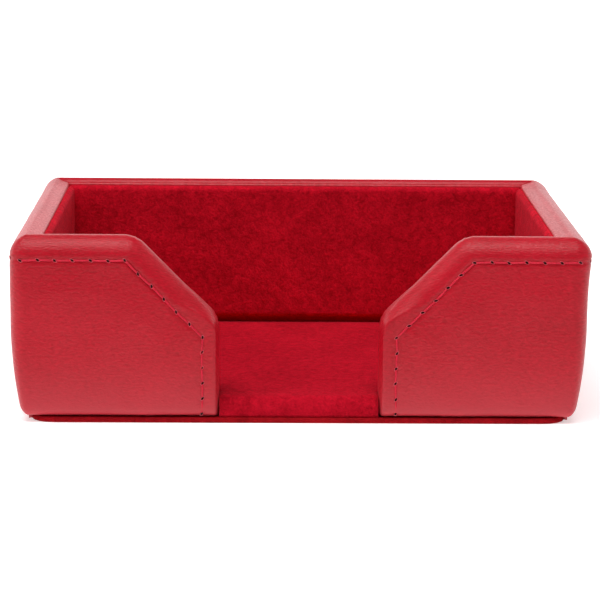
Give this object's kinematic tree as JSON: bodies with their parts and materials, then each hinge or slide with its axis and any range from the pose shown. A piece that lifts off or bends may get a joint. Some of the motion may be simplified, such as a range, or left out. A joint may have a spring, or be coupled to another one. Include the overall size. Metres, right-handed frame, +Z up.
{
  "type": "desk card holder",
  "caption": "Low rectangular desk tray for business cards, red leather over board, suede lined, with a wide sloping thumb notch in the front wall.",
  "frame": {"origin": "centre of the underside, on the surface that the tray stands on", "axes": "+X to the right seen from the notch side, +Y from the notched front wall towards the back wall, +Z up"},
  "size_m": [0.108, 0.07, 0.0354],
  "materials": {
    "leather": "fine grain, semi-matte red",
    "lining_suede": "short nap microsuede, matt crimson",
    "floor_suede": "short nap microsuede, matt crimson",
    "underside_suede": "short nap microsuede, dark crimson",
    "thread": "bonded thread, slight sheen",
    "board": "raw fibreboard",
    "card": "raw grey card",
    "foam": "thin soft padding sheet"
  },
  "bodies": {
    "root": {"underside_card": "card", "underside_suede": "underside_suede", "base_board": "board", "left_board": "board", "right_board": "board", "back_board": "board", "front_left_board": "board", "front_right_board": "board", "foam_wrap": "foam", "leather_wrap": "leather", "needle_thread": "thread", "bobbin_thread": "thread", "floor_suede": "floor_suede", "back_lining_card": "card", "back_lining_suede": "lining_suede", "left_lining_card": "card", "left_lining_suede": "lining_suede", "right_lining_card": "card", "right_lining_suede": "lining_suede", "front_left_lining_card": "card", "front_left_lining_suede": "lining_suede", "front_right_lining_card": "card", "front_right_lining_suede": "lining_suede"}
  },
  "joints": []
}
